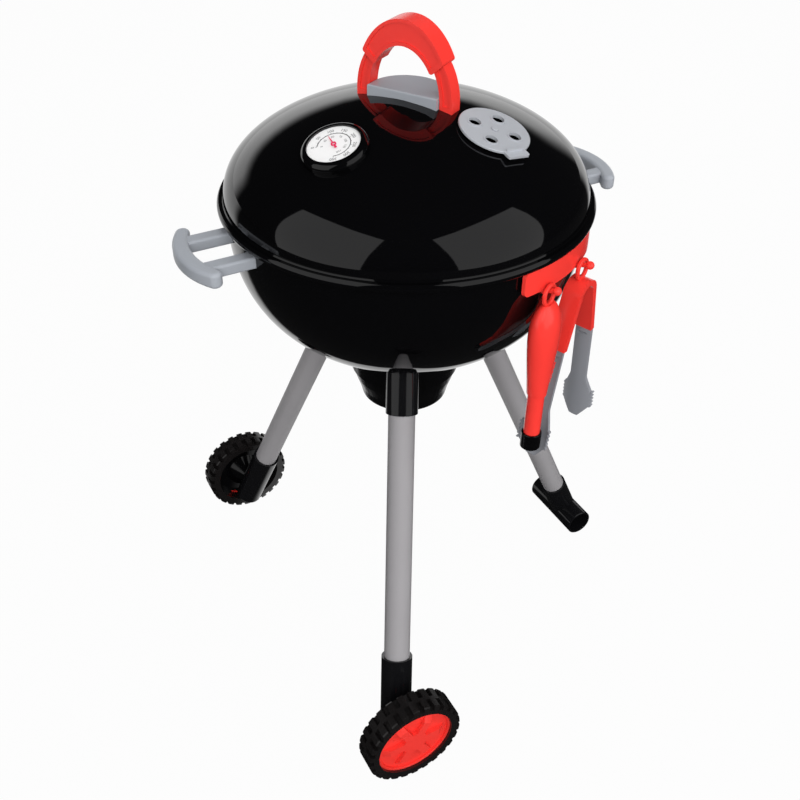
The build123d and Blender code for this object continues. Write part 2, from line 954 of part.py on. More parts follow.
rack_middle_z = (rack_top_z + rack_bottom_z) / 2
rack_inside = rack_radius - rack_thickness
rack_low = rack_tab_z - rack_tab_radius
claw_offset = rack_half_width * rack_claw_share
claw_start = lid_pocket_radius + seat_gap
peg_lean = math.radians(peg_rise)
peg_root = math.sqrt(rack_radius**2 - peg_offset**2) - rack_thickness / 2
peg_root_z = peg_ball_z - (peg_ball_distance - peg_root) * math.tan(peg_lean)
with BuildPart() as tool_rack:
    with BuildSketch(level(rack_low)):
        Circle(rack_radius)
        Circle(rack_inside, mode=Mode.SUBTRACT)
    extrude(amount=rack_top_z - rack_low)
    with BuildSketch(rack_plane(0)):
        with Locations((0, rack_middle_z)):
            RectangleRounded(
                rack_half_width * 2, rack_top_z - rack_bottom_z, rack_corner
            )
        with Locations((-peg_offset, rack_tab_z), (peg_offset, rack_tab_z)):
            Circle(rack_tab_radius)
    extrude(amount=lid_rim_radius, mode=Mode.INTERSECT)
    for along in (-claw_offset, claw_offset):
        add(
            rim_block(
                rack_inside,
                rack_claw_radius,
                rim_z - lip_height,
                lip_height + rack_claw_thickness,
                along,
                rack_claw_half_width,
            )
        )
        add(
            rim_block(
                claw_start,
                rack_claw_radius,
                rim_z,
                rack_claw_thickness,
                along,
                rack_claw_half_width,
            )
        )
        add(
            rim_block(
                bowl_radius + seat_gap,
                rack_inside + rack_thickness / 2,
                rim_z - lip_height - seat_gap - rack_claw_thickness,
                rack_claw_thickness,
                along,
                rack_claw_half_width,
            )
        )
    for along in (-peg_offset, peg_offset):
        root = rack_plane(peg_root, along, peg_root_z)
        rising = rack_out * math.cos(peg_lean) + Vector(0, 0, math.sin(peg_lean))
        peg_plane = Plane(origin=root.origin, x_dir=rack_along, z_dir=rising)
        peg_length = (peg_ball_distance - peg_root) / math.cos(peg_lean)
        put_post(peg_plane, peg_radius, 0, peg_length)
        with Locations(rack_plane(peg_ball_distance, along, peg_ball_z)):
            Sphere(peg_ball_radius)
finish(tool_rack, "tool_rack")

# Lid: pressed dome with a rolled rim that drops over the bowl's lip
lid_pads = []
arch_foot = (arch_half_width + arch_inside_half_width) / 2
pad_top_z = dome_height(arch_half_width) - lid_wall * 2
for along in (-arch_foot, arch_foot):
    out = ray(lid_azimuth) * along
    lid_pads.append(
        Plane(
            origin=(axis_x + out.X, out.Y, pad_top_z),
            x_dir=ray(lid_azimuth),
            z_dir=(0, 0, 1),
        )
    )
gauge_plane = tangent_plane(
    gauge_azimuth, gauge_distance, dome_height(gauge_distance), dome_tilt(gauge_distance)
)
vent_plane = tangent_plane(
    lid_azimuth, vent_distance, dome_height(vent_distance), dome_tilt(vent_distance)
)
rivet_plane = vent_plane.offset(vent_pad_lift)
vent_turns = [
    vent_hole_turn + step * 360 / vent_hole_count for step in range(vent_hole_count)
]
vent_spots = [
    (
        vent_hole_ring * math.cos(math.radians(turn)),
        vent_hole_ring * math.sin(math.radians(turn)),
    )
    for turn in vent_turns
]

with BuildPart(mode=Mode.PRIVATE) as inner_pads:
    for place in lid_pads:
        put_post(place, screw_pad_radius, 0, lid_wall * 4)
    put_post(rivet_plane, screw_pad_radius, -rivet_length, 0)
    add(dome_solid, mode=Mode.INTERSECT)

with BuildPart() as lid:
    add(dome_solid)
    with BuildSketch(meridian(foot_azimuth)):
        with BuildLine():
            Polyline((0, rim_z), (lid_rim_radius - lid_rim_wall / 4, rim_z))
            rim_side = ThreePointArc(
                (lid_rim_radius - lid_rim_wall / 4, rim_z),
                (lid_rim_radius, rim_z + lid_rim_height / 2),
                (lid_rim_top_radius, rim_z + lid_rim_height),
            )
            Polyline(
                rim_side @ 1,
                (lid_step_radius, rim_z + lid_rim_height),
                (lid_radius, rim_z + lid_rim_height + lid_step_rise),
                (0, rim_z + lid_rim_height + lid_step_rise),
                (0, rim_z),
            )
        make_face()
    revolve(axis=kettle_axis)
    put_post(vent_plane, vent_pad_radius, -vent_pad_radius / 2, vent_pad_lift)
    with BuildSketch(level(rim_z - skirt_depth)):
        Circle(skirt_radius)
    extrude(amount=skirt_depth)
    add(hollow_solid, mode=Mode.SUBTRACT)
    with BuildSketch(level(rim_z - skirt_depth)):
        Circle(skirt_radius)
        Circle(skirt_radius - skirt_wall, mode=Mode.SUBTRACT)
    extrude(amount=skirt_depth)
    with BuildSketch(level(rim_z)):
        Circle(lid_radius)
        Circle(skirt_radius - skirt_wall, mode=Mode.SUBTRACT)
    extrude(amount=lid_wall)
    with BuildSketch(level(rim_z)):
        Circle(lid_rim_radius - lid_rim_wall)
        Circle(lid_pocket_radius, mode=Mode.SUBTRACT)
    extrude(amount=lid_pocket_height, mode=Mode.SUBTRACT)
    add(inner_pads.part)
    for place in lid_pads:
        put_post(
            place,
            screw_shank_radius + snug_gap,
            -overrun,
            screw_length,
            Mode.SUBTRACT,
        )
    put_post(
        rivet_plane,
        rivet_radius + snug_gap,
        -rivet_length - overrun,
        overrun,
        Mode.SUBTRACT,
    )
    put_post(
        gauge_plane,
        gauge_plug_radius + snug_gap,
        -gauge_plug_radius,
        overrun,
        Mode.SUBTRACT,
    )
    with BuildSketch(vent_plane.offset(-vent_pad_radius / 2)):
        with Locations(*vent_spots):
            Circle(vent_hole_radius)
    extrude(amount=vent_pad_radius, mode=Mode.SUBTRACT)
finish(lid, "lid")

# Vent: a flat disc with four rimmed holes and a finger tab, turning on a rivet
with BuildPart() as vent_disc:
    disc_plane = vent_plane.offset(vent_pad_lift + seat_gap)
    with BuildSketch(disc_plane):
        Circle(vent_radius)
    extrude(amount=vent_thickness)
    upward = Axis(disc_plane.origin, disc_plane.z_dir)
    fillet(vent_disc.faces().sort_by(upward)[-1].edges(), vent_round)
    tab_turn = math.radians(vent_tab_middle)
    tab_out = disc_plane.x_dir * math.cos(tab_turn)
    tab_out = tab_out + disc_plane.y_dir * math.sin(tab_turn)
    tab_plane = Plane(origin=disc_plane.origin, x_dir=tab_out, z_dir=disc_plane.z_dir)
    tab_start = vent_radius - vent_tab_width / 4
    with BuildSketch(tab_plane):
        with Locations(((tab_start + vent_tab_reach) / 2, 0)):
            RectangleRounded(
                vent_tab_reach - tab_start, vent_tab_width, vent_thickness
            )
    extrude(amount=vent_thickness)
    with BuildSketch(tab_plane.offset(vent_thickness)):
        with Locations((vent_radius - vent_tab_ridge, 0)):
            RectangleRounded(
                vent_tab_ridge, vent_tab_width - vent_tab_ridge * 2, vent_round
            )
    extrude(amount=vent_tab_ridge)
    with BuildSketch(disc_plane.offset(vent_thickness)):
        with Locations(*vent_spots):
            Circle(vent_hole_rim)
    extrude(amount=vent_hole_rim_height)
    with BuildSketch(disc_plane):
        with Locations(*vent_spots):
            Circle(vent_hole_radius)
        Circle(rivet_radius + running_clearance)
    extrude(amount=vent_thickness + overrun, mode=Mode.SUBTRACT)
finish(vent_disc, "vent_disc")

with BuildPart() as vent_rivet:
    rivet_top = seat_gap + vent_thickness + seat_gap
    put_post(rivet_plane, rivet_radius, -rivet_length, rivet_top)
    put_post(rivet_plane, rivet_head_radius, rivet_top, rivet_top + rivet_head_height)
    put_post(
        rivet_plane,
        rivet_head_radius,
        -rivet_length - rivet_head_height,
        -rivet_length,
    )
    upward = Axis(rivet_plane.origin, rivet_plane.z_dir)
    fillet(vent_rivet.faces().sort_by(upward)[-1].edges(), rivet_head_height / 2)
finish(vent_rivet, "vent_rivet")

# Thermometer: a bevelled bezel standing on the dome with a flat dial inside
gauge_section = Plane(
    origin=gauge_plane.origin, x_dir=gauge_plane.x_dir, z_dir=-gauge_plane.y_dir
)
gauge_axis = Axis(gauge_plane.origin, gauge_plane.z_dir)
with BuildPart() as thermometer_bezel:
    with BuildSketch(gauge_section):
        with BuildLine():
            swell = ThreePointArc(
                (bezel_radius, 0),
                (bezel_swell_radius, bezel_swell_height),
                (bezel_lip_radius, bezel_height),
            )
            Polyline(
                swell @ 0,
                (bezel_radius, -bezel_sink),
                (0, -bezel_sink),
                (0, dial_lift),
                (dial_radius, dial_lift),
                (dial_radius, dial_lift + dial_thickness),
                (dial_window_radius, dial_lift + dial_thickness),
                (dial_window_radius, bezel_height),
                swell @ 1,
            )

        make_face()
    revolve(axis=gauge_axis)
    add(seat_solid, mode=Mode.SUBTRACT)
    put_post(gauge_plane, gauge_plug_radius, -bezel_sink, dial_lift)
finish(thermometer_bezel, "thermometer_bezel")

with BuildPart() as thermometer_dial:
    put_post(gauge_plane, dial_radius - snug_gap, dial_lift, dial_lift + dial_thickness)
finish(thermometer_dial, "thermometer_dial")

# Lid handle: an arch with a fat grip section, standing on the dome
arch_plane = meridian(lid_azimuth)
leg_drop = arch_base_z - dome_height(arch_half_width) + overrun
panel_drop = arch_base_z - dome_height(arch_inside_half_width) - panel_frame


def put_arch(half_width, height, drop, start, amount, mode=Mode.ADD):
    # Half ellipse over two straight legs, extruded outwards from both faces of a slab
    for side in (-1, 1):
        with BuildSketch(arch_plane.offset(side * start)) as outline:
            with Locations((0, arch_base_z)):
                Ellipse(half_width, height)
            with Locations((0, arch_base_z - drop / 2)):
                Rectangle(half_width * 2, drop)
            with Locations((0, arch_base_z - drop - height)):
                Rectangle(half_width * 4, height * 2, mode=Mode.SUBTRACT)
        extrude(outline.sketch, amount=side * amount, mode=mode)


def arch_body(inset, drop, start, amount):
    # The arch's outline, drawn in by an inset, extruded outwards from both faces of a slab
    with BuildPart(mode=Mode.PRIVATE) as body:
        put_arch(arch_half_width - inset, arch_height - inset, drop, start, amount)
        put_arch(
            arch_inside_half_width + inset,
            arch_inside_height + inset,
            drop + overrun,
            0,
            arch_depth,
            Mode.SUBTRACT,
        )
    return body.part


grip_turn = math.radians(grip_half_angle)
grip_spread = grip_height * 2 * math.tan(grip_turn)


def grip_body(inset, start, amount):
    # Ring sector between two ellipses, drawn in by an inset, on one side of a plane
    with BuildPart(mode=Mode.PRIVATE) as body:
        with BuildSketch(arch_plane.offset(start)):
            with Locations((0, arch_base_z)):
                Ellipse(grip_half_width - inset, grip_height - inset)
                Ellipse(
                    grip_inside_half_width + inset,
                    grip_inside_height + inset,
                    mode=Mode.SUBTRACT,
                )
            with BuildLine():
                Polyline(
                    (0, arch_base_z + inset * 2),
                    (grip_spread / 2, arch_base_z + grip_height + inset * 2),
                    (-grip_spread / 2, arch_base_z + grip_height + inset * 2),
                    close=True,
                )
            make_face(mode=Mode.INTERSECT)
        extrude(amount=amount)
        across = Axis((0, 0, 0), arch_plane.z_dir)
        fillet(body.edges().filter_by(across), grip_round - inset / 2)
    return body.part


with BuildPart() as lid_handle:
    add(arch_body(0, leg_drop, 0, arch_depth / 2))
    add(
        arch_body(panel_frame, panel_drop, arch_depth / 2 - panel_sink, overrun),
        mode=Mode.SUBTRACT,
    )
    add(grip_body(0, -grip_depth / 2, grip_depth))
    for side in (-1, 1):
        panel_start = side * (grip_depth / 2 - panel_sink)
        add(
            grip_body(panel_frame, panel_start, side * overrun), mode=Mode.SUBTRACT
        )
    add(seat_solid, mode=Mode.SUBTRACT)
    for place in lid_pads:
        put_post(
            place,
            screw_shank_radius + snug_gap,
            0,
            screw_length + snug_gap,
            Mode.SUBTRACT,
        )
finish(lid_handle, "lid_handle")

with BuildPart() as lid_handle_screws:
    for place in lid_pads:
        put_screw(place)
finish(lid_handle_screws, "lid_handle_screws")

# Heat shield: a hollow D-shaped cover on the dome between the handle's legs
def put_shield(inset, top_z, mode=Mode.ADD):
    # Straight wall on one side of the handle's plane, half an ellipse on the other
    half_width = shield_half_width - inset
    front = shield_front - inset
    with BuildSketch(
        Plane(origin=(axis_x, 0, rim_z), x_dir=ray(lid_azimuth), z_dir=(0, 0, 1))
    ) as outline:
        Ellipse(half_width, shield_back - inset)
        with Locations((0, -shield_back)):
            Rectangle(half_width * 2, shield_back * 2, mode=Mode.SUBTRACT)
        with Locations((0, -front / 2)):
            Rectangle(half_width * 2, front)
    extrude(outline.sketch, amount=top_z - rim_z, mode=mode)


with BuildPart() as heat_shield:
    put_shield(0, shield_top_z)
    fillet(heat_shield.faces().sort_by(Axis.Z)[-1].edges(), shield_round)
    put_shield(shield_wall, shield_top_z - shield_wall, Mode.SUBTRACT)
    add(seat_solid, mode=Mode.SUBTRACT)
finish(heat_shield, "heat_shield")

# Hanging loops: the hole's top rests on the peg at the loop's outer face
hang_gap = running_clearance
loop_front = loop_distance + loop_thickness / 2
peg_cover = peg_radius / math.cos(peg_lean)
peg_drop = (peg_ball_distance - loop_front) * math.tan(peg_lean)
loop_hole_top_z = peg_ball_z - peg_drop + peg_cover + hang_gap
loop_hole_height = loop_hole_top_z - loop_hole_bottom_z
loop_middle_z = (loop_hole_top_z + loop_hole_bottom_z) / 2


def loop_body(along, lean):
    # Rounded oblong ring, square to the peg it hangs on
    with BuildPart(mode=Mode.PRIVATE) as body:
        with BuildSketch(hung_plane((along, lean, 0), loop_middle_z)):
            SlotOverall(
                loop_hole_height + loop_rim * 2,
                loop_hole_width + loop_rim * 2,
                rotation=90,
            )
            SlotOverall(
                loop_hole_height, loop_hole_width, rotation=90, mode=Mode.SUBTRACT
            )
        extrude(amount=loop_thickness / 2, both=True)
        facing = body.faces().filter_by(lambda face: face.geom_type == GeomType.PLANE)
        facing = facing.filter_by(
            lambda face: abs(face.normal_at().dot(rack_out)) > math.cos(peg_lean)
        )
        fillet(facing.edges(), loop_round)
    return body.part


def hung_plane(stance, height, distance=loop_distance, across=0):
    # Upright plane of a tool that leans and tilts about its peg, its x across the tool
    along, lean, tilt = stance
    spin = math.radians(lean)
    sink = math.radians(tilt)
    right = rack_along * math.cos(spin) - Vector(0, 0, math.sin(spin))
    straight = rack_along * math.sin(spin) + Vector(0, 0, math.cos(spin))
    upward = straight * math.cos(sink) + rack_out * math.sin(sink)
    outward = rack_out * math.cos(sink) - straight * math.sin(sink)
    peg = rack_plane(loop_distance, along, peg_ball_z).origin
    place = peg + upward * (height - peg_ball_z) + right * across
    place = place + outward * (distance - loop_distance)
    return Plane(origin=place, x_dir=right, z_dir=outward)


def hung_level(stance, height):
    # Plane square to a hanging tool's axis at a height, its normal pointing up the tool
    upright = hung_plane(stance, height)
    return Plane(origin=upright.origin, x_dir=upright.x_dir, z_dir=upright.y_dir)


# Lighter: a lofted grip with a loop, a straight barrel, a tip collar and a trigger
lighter_sections = (
    (lighter_neck_z, lighter_neck_half_width, lighter_neck_half_depth),
    (lighter_shoulder_z, lighter_shoulder_half_width, lighter_shoulder_half_depth),
    (lighter_belly_z, lighter_belly_half_width, lighter_belly_half_depth),
    (lighter_waist_z, lighter_waist_half_width, lighter_waist_half_depth),
    (lighter_end_z, lighter_end_radius, lighter_end_radius),
)
lighter_stance = (-peg_offset, lighter_lean, 0)
trigger_plane = hung_plane(lighter_stance, 0)
with BuildPart() as lighter_grip:
    for height, half_width, half_depth in lighter_sections:
        with BuildSketch(hung_level(lighter_stance, height)):
            Ellipse(half_width, half_depth)
    loft()
    add(loop_body(-peg_offset, lighter_lean))
    slot_start = trigger_heel - trigger_travel - trigger_gap
    flange_end = trigger_heel + trigger_flange + trigger_gap
    with BuildSketch(trigger_plane):
        with BuildLine():
            Polyline(
                (slot_start, trigger_bottom_z - trigger_gap),
                (lighter_belly_half_width * 2, trigger_bottom_z - trigger_gap),
                (lighter_belly_half_width * 2, trigger_top_z + trigger_gap),
                (flange_end, trigger_top_z + trigger_gap),
                (flange_end, trigger_top_z + trigger_flange + trigger_gap),
                (slot_start, trigger_top_z + trigger_flange + trigger_gap),
                close=True,
            )
        make_face()
    extrude(
        amount=trigger_width / 2 + trigger_gap, both=True, mode=Mode.SUBTRACT
    )
    put_post(
        hung_level(lighter_stance, lighter_end_z),
        barrel_spigot_radius + snug_gap,
        -overrun,
        barrel_spigot_length,
        Mode.SUBTRACT,
    )
finish(lighter_grip, "lighter_grip")

with BuildPart() as lighter_trigger:
    with BuildSketch(trigger_plane):
        with BuildLine():
            thumb = ThreePointArc(
                (trigger_reach, trigger_top_z),
                (
                    (trigger_reach + trigger_foot_reach) / 2 - trigger_hollow,
                    (trigger_top_z + trigger_bottom_z) / 2,
                ),
                (trigger_foot_reach, trigger_bottom_z),
            )
            Polyline(
                thumb @ 1,
                (trigger_heel, trigger_bottom_z),
                (trigger_heel, trigger_top_z + trigger_flange),
                (trigger_heel + trigger_flange, trigger_top_z + trigger_flange),
                (trigger_heel + trigger_flange, trigger_top_z),
                thumb @ 0,
            )
        make_face()
        for step in range(trigger_ridge_count):
            spot = thumb @ ((step + 1) / (trigger_ridge_count + 1))
            with Locations((spot.X, spot.Y)):
                Circle(trigger_ridge_radius)
    extrude(amount=trigger_width / 2, both=True)
finish(lighter_trigger, "lighter_trigger")

with BuildPart() as lighter_barrel:
    put_post(
        hung_level(lighter_stance, barrel_end_z),
        barrel_radius,
        0,
        lighter_end_z - barrel_end_z,
    )
    put_post(
        hung_level(lighter_stance, lighter_end_z),
        barrel_spigot_radius,
        -barrel_spigot_length,
        barrel_spigot_length - snug_gap,
    )
finish(lighter_barrel, "lighter_barrel")

with BuildPart() as lighter_tip:
    tip_plane = hung_level(lighter_stance, tip_end_z)
    put_post(tip_plane, tip_radius, 0, tip_top_z - tip_end_z)
    tip_ends = lighter_tip.faces().filter_by(GeomType.PLANE)
    fillet(tip_ends.edges(), tip_round)
    put_post(
        tip_plane,
        barrel_radius + snug_gap,
        barrel_end_z - tip_end_z,
        tip_top_z - tip_end_z + overrun,
        Mode.SUBTRACT,
    )
    put_post(tip_plane, tip_bore_radius, -overrun, tip_bore_depth, Mode.SUBTRACT)
finish(lighter_tip, "lighter_tip")

# Tongs: a springy bow with a loop, and a flared serrated jaw let into each end
tongs_middle_radius = tongs_bend_radius - tongs_arm_thickness / 2
bend_z = tongs_top_z - tongs_bend_radius
arm_span = math.hypot(tongs_arm_end, bend_z - tongs_arm_end_z)
arm_dip = math.atan2(bend_z - tongs_arm_end_z, tongs_arm_end)
tangent_turn = math.acos(tongs_middle_radius / arm_span) - arm_dip
tangent_x = tongs_middle_radius * math.cos(tangent_turn)
tangent_z = bend_z + tongs_middle_radius * math.sin(tangent_turn)
arm_lean = tangent_turn
arm_tail_x = tongs_arm_end + overrun * math.sin(arm_lean)
arm_tail_z = tongs_arm_end_z - overrun * math.cos(arm_lean)
jaw_length = math.hypot(
    tongs_tip_spread - tongs_arm_end, tongs_arm_end_z - tongs_tip_z
)


tongs_stance = (peg_offset, tongs_lean, tongs_tilt)


def jaw_plane(side):
    # Plane of a jaw: x outwards from the bowl, y down the jaw from the arm's end
    start = hung_plane(
        tongs_stance, tongs_arm_end_z, tongs_distance, side * tongs_arm_end
    )
    end = hung_plane(
        tongs_stance, tongs_tip_z, tongs_distance, side * tongs_tip_spread
    )
    down = end.origin - start.origin
    outward = start.z_dir
    return Plane(origin=start.origin, x_dir=outward, z_dir=outward.cross(down))


def put_tongue(side, gap, mode=Mode.ADD):
    # Tongue at the head of a jaw, or with a gap the pocket for it
    place = jaw_plane(side)
    with BuildSketch(place) as outline:
        with Locations((0, -jaw_tongue_length / 2)):
            Rectangle(jaw_tongue_width + gap * 2, jaw_tongue_length + gap * 2)
    extrude(
        outline.sketch, amount=jaw_tongue_thickness / 2 + gap, both=True, mode=mode
    )


with BuildPart() as tongs_handle:
    add(loop_body(peg_offset, tongs_lean))
    with BuildSketch(hung_plane(tongs_stance, 0, tongs_distance)):
        with BuildLine():
            bow = ThreePointArc(
                (-tangent_x, tangent_z),
                (0, bend_z + tongs_middle_radius),
                (tangent_x, tangent_z),
            )
            Line(bow @ 0, (-arm_tail_x, arm_tail_z))
            Line(bow @ 1, (arm_tail_x, arm_tail_z))
        trace(line_width=tongs_arm_thickness)
    extrude(amount=tongs_depth / 2, both=True)
    for side in (-1, 1):
        jaw = jaw_plane(side)
        arm_end = Plane(origin=jaw.origin, x_dir=jaw.x_dir, z_dir=jaw.y_dir)
        with BuildSketch(arm_end):
            Rectangle(tongs_depth * 2, tongs_arm_thickness * 2)
        extrude(amount=overrun * 2, mode=Mode.SUBTRACT)
        put_tongue(side, snug_gap, Mode.SUBTRACT)
finish(tongs_handle, "tongs_handle")

for side, name in ((-1, "left"), (1, "right")):
    jaw = jaw_plane(side)
    dish_plane = Plane(origin=jaw.origin, x_dir=jaw.x_dir, z_dir=jaw.y_dir)
    with BuildPart() as tongs_jaw:
        with BuildSketch(jaw_plane(side)):
            paddle_start = jaw_length - jaw_paddle_length
            paddle_wide = paddle_start + jaw_paddle_blend
            tip_start = jaw_length - jaw_tip_length
            with BuildLine():
                Polyline(
                    (-jaw_width / 2, 0),
                    (-jaw_width / 2, paddle_start),
                    (-jaw_paddle_width / 2, paddle_wide),
                    (-jaw_paddle_width / 2, tip_start),
                    (-jaw_tip_width / 2, jaw_length),
                    (jaw_tip_width / 2, jaw_length),
                    (jaw_paddle_width / 2, tip_start),
                    (jaw_paddle_width / 2, paddle_wide),
                    (jaw_width / 2, paddle_start),
                    (jaw_width / 2, 0),
                    close=True,
                )
            make_face()
            corners = vertices().filter_by(lambda point: point.Y > jaw_width)
            necks = corners.filter_by(lambda point: abs(point.X) == jaw_width / 2)
            fillet(necks, jaw_neck_round)
            sides = vertices().filter_by(
                lambda point: abs(point.X) == jaw_paddle_width / 2
            )
            fillet(sides, jaw_round)
            tooth_half = jaw_paddle_width / 2
            for step in range(jaw_tooth_count):
                tooth_y = tip_start - step * jaw_tooth_pitch
                with Locations((-tooth_half, tooth_y), (tooth_half, tooth_y)):
                    Circle(jaw_tooth_radius)
            with Locations((0, jaw_slot_drop)):
                SlotOverall(jaw_slot_length, jaw_slot_width, mode=Mode.SUBTRACT)
        extrude(amount=jaw_dish_radius / 2, both=True)
        with BuildSketch(dish_plane):
            with Locations((0, -side * jaw_dish_radius)):
                Circle(jaw_dish_radius + jaw_thickness / 2)
                Circle(jaw_dish_radius - jaw_thickness / 2, mode=Mode.SUBTRACT)
        extrude(amount=jaw_length * 2, both=True, mode=Mode.INTERSECT)
        put_tongue(side, 0)
    finish(tongs_jaw, f"tongs_jaw_{name}")
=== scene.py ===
import math

import bpy
import numpy as np
from mathutils import Matrix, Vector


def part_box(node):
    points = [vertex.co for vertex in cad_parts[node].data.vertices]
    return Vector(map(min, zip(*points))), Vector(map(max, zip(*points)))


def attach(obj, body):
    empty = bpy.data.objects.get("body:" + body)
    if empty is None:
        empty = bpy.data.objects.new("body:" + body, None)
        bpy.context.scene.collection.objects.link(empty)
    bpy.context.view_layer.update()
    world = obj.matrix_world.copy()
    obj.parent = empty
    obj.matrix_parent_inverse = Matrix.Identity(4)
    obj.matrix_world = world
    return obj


bl_info = {
    "name": "Toy kettle barbecue",
    "version": (1, 0, 0),
    "blender": (4, 5, 0),
    "location": "3D View > Sidebar > Barbecue",
    "description": "Dresses a toy kettle barbecue with its finishes, dial and studio",
    "category": "Object",
}

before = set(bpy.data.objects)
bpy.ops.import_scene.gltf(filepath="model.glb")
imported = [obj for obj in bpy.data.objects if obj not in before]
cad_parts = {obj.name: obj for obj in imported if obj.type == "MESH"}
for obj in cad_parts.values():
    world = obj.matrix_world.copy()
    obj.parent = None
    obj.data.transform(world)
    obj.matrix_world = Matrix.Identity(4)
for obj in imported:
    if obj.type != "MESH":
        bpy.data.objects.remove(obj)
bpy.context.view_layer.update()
TURN = 2 * math.pi
UP = np.array([0.0, 0.0, 1.0])


def node_middle(node):
    low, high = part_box(node)
    return np.array((low + high) / 2)


# The kettle's upright axis runs through the middle of its round lid
AXIS = node_middle("lid") * np.array([1, 1, 0])
# Level direction from the kettle to the studio's bright backdrop
REAR = np.array([0.285, 0.958, 0.0])

# Fixed colours of the small pieces and of the thermometer
GRATE_BLACK = (0.02, 0.02, 0.02)
LEG_BLACK = (0.0045, 0.0045, 0.0052)
TYRE_BLACK = (0.008, 0.007, 0.007)
STEEL = (0.6, 0.6, 0.6)
VENT_SILVER = (0.52, 0.54, 0.58)
JAW_SILVER = (0.31, 0.32, 0.35)
DIAL_WHITE = (0.8, 0.8, 0.8)
DIAL_INK = (0.03, 0.03, 0.035)

# Slow noise in the finishes, in waves a metre, and the height of a grain's relief in metres
PLASTIC_DRIFT = 18.0
POLISH_DRIFT = 9.0
STEEL_DRIFT = 120.0
RELIEF_HEIGHT = 0.0003

# Thermometer scale: angles count from the dial's right and lengths are in metres
SCALE_START = math.radians(215.6)
SCALE_END = math.radians(-51.8)
SCALE_LINE = 0.0007
LARGE_COUNT = 8
LARGE_VALUE_STEP = 50
LARGE_TICK = (0.0014, 0.00042)
MIDDLE_TICK = (0.0011, 0.00036)
SMALL_TICK = (0.0007, 0.0002)
SMALL_COUNT = 36
LARGE_OUTSET = 0.0036
INNER_START = 217
INNER_PITCH = 40.5
INNER_COUNT = 7
INNER_VALUE_STEP = 25
INNER_INSET = 0.0040
INNER_HEIGHT_SHARE = 0.75
CAP_HEIGHT_SHARE = 0.7
INK_LIFT = 0.00006

# Thermometer needle, in metres from the hub's middle
NEEDLE_LIFT = 0.0008
NEEDLE_THICKNESS = 0.0004
NEEDLE_ROOT = 0.0015
NEEDLE_ROOT_HALF = 0.0006
NEEDLE_TIP_HALF = 0.0001
TAIL_REACH = 0.0052
TAIL_HALF = 0.0011
TAIL_NECK_HALF = 0.0005
HUB_RADIUS = 0.0023
HUB_BAND = 0.001
HUB_THICKNESS = 0.0006

# Backdrop and floor as the glossy pieces mirror them: each pair is where a brightness starts and
# where it is full, by how far a direction leans to the rear, or upwards for the backdrop's top
BACKDROP_SIDES = (0.68, 0.84)
BACKDROP_TOP = (0.33, 0.17)
BACKDROP_LEVEL = 1.08
ROOM_LEVEL = 0.012
FLOOR_SIDES = (0.58, 0.7)
FLOOR_LEVEL = 0.85
FLOOR_DARK_LEVEL = 0.01
FLOOR_COVER = 0.97
FLOOR_GREY = 0.32
FLOOR_HALF_WIDTH = 20.0

# Soft lamps: name, place, size, power in watts, seen in reflections. They aim at the kettle's middle
KETTLE_MIDDLE = np.array([AXIS[0], 0.0, 0.45])
LAMPS = (
    ("left_softbox", KETTLE_MIDDLE + [-2.0, -0.35, 0.62], (2.3, 3.0), 15.0, True),
    ("right_softbox", KETTLE_MIDDLE + [0.9, -1.75, 0.62], (2.3, 3.0), 15.0, True),
    ("overhead", (0.3, 0.2, 3.0), (3.0, 3.0), 38.0, False),
    ("left_fill", (-0.9, -2.2, 1.6), (2.2, 2.2), 68.0, False),
    ("right_fill", (1.9, -1.9, 1.3), (2.2, 2.2), 24.0, False),
    ("rear_fill", (1.1, 1.9, 1.5), (2.2, 2.2), 30.0, False),
)

# Camera that sees the barbecue as the photograph does
FOCAL_PIXELS = 990.8
PHOTO_PIXELS = 800
SENSOR_WIDTH = 36.0
CAMERA_RIGHT = (0.88078, -0.47341, 0.00732)
CAMERA_UP = (0.28395, 0.54054, 0.79194)
CAMERA_BACK = (-0.37887, -0.69545, 0.61056)
CAMERA_PLACE = (-0.41740, -0.72278, 0.91249)


class Wire:
    """A socket that takes part in Python expressions: each operator adds its Math node."""

    def __init__(self, bench, socket):
        self.bench = bench
        self.socket = socket

    def _math(self, operation, *values):
        return self.bench.node(
            "ShaderNodeMath", {"operation": operation}, dict(enumerate(values))
        )

    def __add__(self, other):
        return self._math("ADD", self, other)

    def __radd__(self, other):
        return self._math("ADD", other, self)

    def __sub__(self, other):
        return self._math("SUBTRACT", self, other)

    def __rsub__(self, other):
        return self._math("SUBTRACT", other, self)

    def __mul__(self, other):
        return self._math("MULTIPLY", self, other)

    def __rmul__(self, other):
        return self._math("MULTIPLY", other, self)

    def maximum(self, other):
        return self._math("MAXIMUM", self, other)

    def ramp(self, start, stop):
        """Rises smoothly from 0 at start to 1 at stop."""
        return self.bench.node(
            "ShaderNodeMapRange",
            {"interpolation_type": "SMOOTHSTEP"},
            {"Value": self, "From Min": start, "From Max": stop},
        )


class Bench:
    """A node tree whose nodes are made one after another."""

    def __init__(self, tree):
        self.tree = tree
        tree.nodes.clear()

    def node(self, kind, settings=None, sockets=None, output=0):
        made = self.tree.nodes.new(kind)
        for key, value in (settings or {}).items():
            setattr(made, key, value)
        for key, value in (sockets or {}).items():
            if isinstance(value, Wire):
                self.tree.links.new(value.socket, made.inputs[key])
            else:
                made.inputs[key].default_value = value
        return Wire(self, made.outputs[output]) if made.outputs else None

    def along(self, vector, direction):
        """How far a vector leans in a direction: their dot product."""
        return self.node(
            "ShaderNodeVectorMath", {"operation": "DOT_PRODUCT"}, {0: vector, 1: direction}, output=1
        )

    def path(self, ray):
        """1 for rays of the named kind, else 0."""
        return self.node("ShaderNodeLightPath", output=ray)


